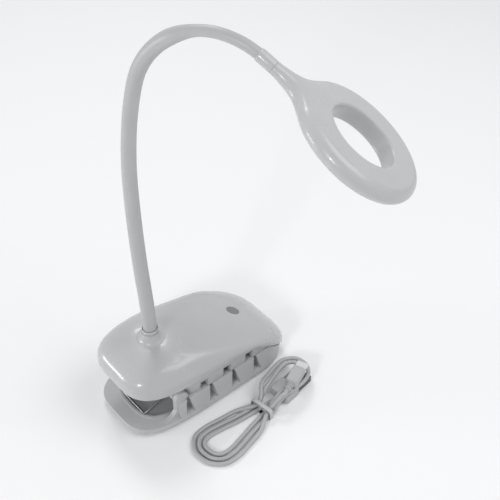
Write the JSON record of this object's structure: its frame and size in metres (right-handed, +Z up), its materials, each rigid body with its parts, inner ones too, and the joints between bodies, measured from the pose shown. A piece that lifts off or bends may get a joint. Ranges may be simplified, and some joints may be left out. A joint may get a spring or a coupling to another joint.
{
  "type": "clip-on gooseneck desk lamp",
  "caption": "Clip-on desk lamp: a domed spring clip with a touch key, a bendable sleeved neck, a ring-shaped lamp head, and a tied charging lead lying beside it.",
  "frame": {"origin": "middle of the flat underside of the foot pad", "axes": "+X along the clip towards its mouth, +Z up, +Y to the left of the clip seen from its handle end"},
  "size_m": [0.1295, 0.14, 0.2392],
  "materials": {
    "shell_white": "gloss",
    "jaw_white": "satin",
    "grip_rubber": "matt",
    "steel": "satin",
    "sleeve": "satin, smooth sleeve",
    "cell_wrap": "satin",
    "lead_red": "matt",
    "board_green": "satin",
    "chip_black": "matt",
    "key_grey": "satin",
    "spring_gold": "bright",
    "lamp_clear": "clear",
    "lens_white": "diffusing",
    "board_white": "satin",
    "led_yellow": "bright",
    "cord_white": "satin",
    "plug_steel": "bright",
    "plug_white": "matt"
  },
  "bodies": {
    "lower_jaw": {"lower_shell": "jaw_white", "lower_pad": "grip_rubber", "foot_pad": "grip_rubber", "hinge_pin": "steel", "pin_clips": "steel", "clip_spring": "steel", "cord_hank": "cord_white", "cord_tie": "cord_white", "usb_body": "cord_white", "usb_shell": "plug_steel", "usb_tongue": "plug_white", "micro_body": "cord_white", "micro_relief": "cord_white", "micro_shell": "plug_steel"},
    "upper_jaw": {"upper_shell": "shell_white", "upper_plate": "jaw_white", "upper_pad": "grip_rubber", "battery_cell": "cell_wrap", "battery_leads": "lead_red", "control_board": "board_green", "board_chips": "chip_black", "touch_key": "key_grey", "touch_spring": "spring_gold", "charge_board": "board_green", "charge_socket": "steel", "charge_light": "lamp_clear", "plate_screws": "steel", "neck_collar": "shell_white", "neck_anchor": "steel", "neck_1": "sleeve"},
    "neck_low": {"neck_2": "sleeve"},
    "neck_middle": {"neck_3": "sleeve"},
    "neck_high": {"neck_4": "sleeve"},
    "neck_top": {"neck_5": "sleeve"},
    "head": {"neck_6": "sleeve", "head_collar": "shell_white", "head_shell": "shell_white", "head_bezel": "shell_white", "diffuser": "lens_white", "led_board": "board_white", "leds": "led_yellow"}
  },
  "joints": [
    {"name": "clip_open", "type": "hinge", "parent": "lower_jaw", "child": "upper_jaw", "pos_m": [-0.024, 0, 0.02], "axis": [0, -1, 0], "range_deg": [0, 28], "stiffness_Nm_per_rad": 1.6, "springref_deg": -28.07, "deforming": ["clip_spring"]},
    {"name": "neck_lean", "type": "hinge", "parent": "upper_jaw", "child": "neck_low", "pos_m": [-0.02451, 0.00242, 0.08936], "axis": [0.7501, 0.6479, -0.1325], "range_deg": [-15, 15]},
    {"name": "neck_bend", "type": "hinge", "parent": "neck_low", "child": "neck_middle", "pos_m": [-0.02213, 0.00853, 0.11542], "axis": [0.7387, 0.6048, -0.2974], "range_deg": [-10, 10]},
    {"name": "neck_bend_middle", "type": "hinge", "parent": "neck_middle", "child": "neck_high", "pos_m": [-0.01684, 0.01789, 0.13993], "axis": [0.7123, 0.537, -0.4519], "range_deg": [-10, 10]},
    {"name": "neck_bend_high", "type": "hinge", "parent": "neck_high", "child": "neck_top", "pos_m": [-0.00501, 0.02336, 0.19815], "axis": [0.7571, 0.6505, 0.0604], "range_deg": [-10, 10]},
    {"name": "head_tilt", "type": "hinge", "parent": "neck_top", "child": "head", "pos_m": [0.00799, -0.00596, 0.23375], "axis": [0.8979, 0.4251, 0.1146], "range_deg": [-20, 20]}
  ],
  "couplings": [
    {"joint": "neck_bend_middle", "follows": "neck_bend", "ratio": 1},
    {"joint": "neck_bend_high", "follows": "neck_bend", "ratio": 1}
  ]
}
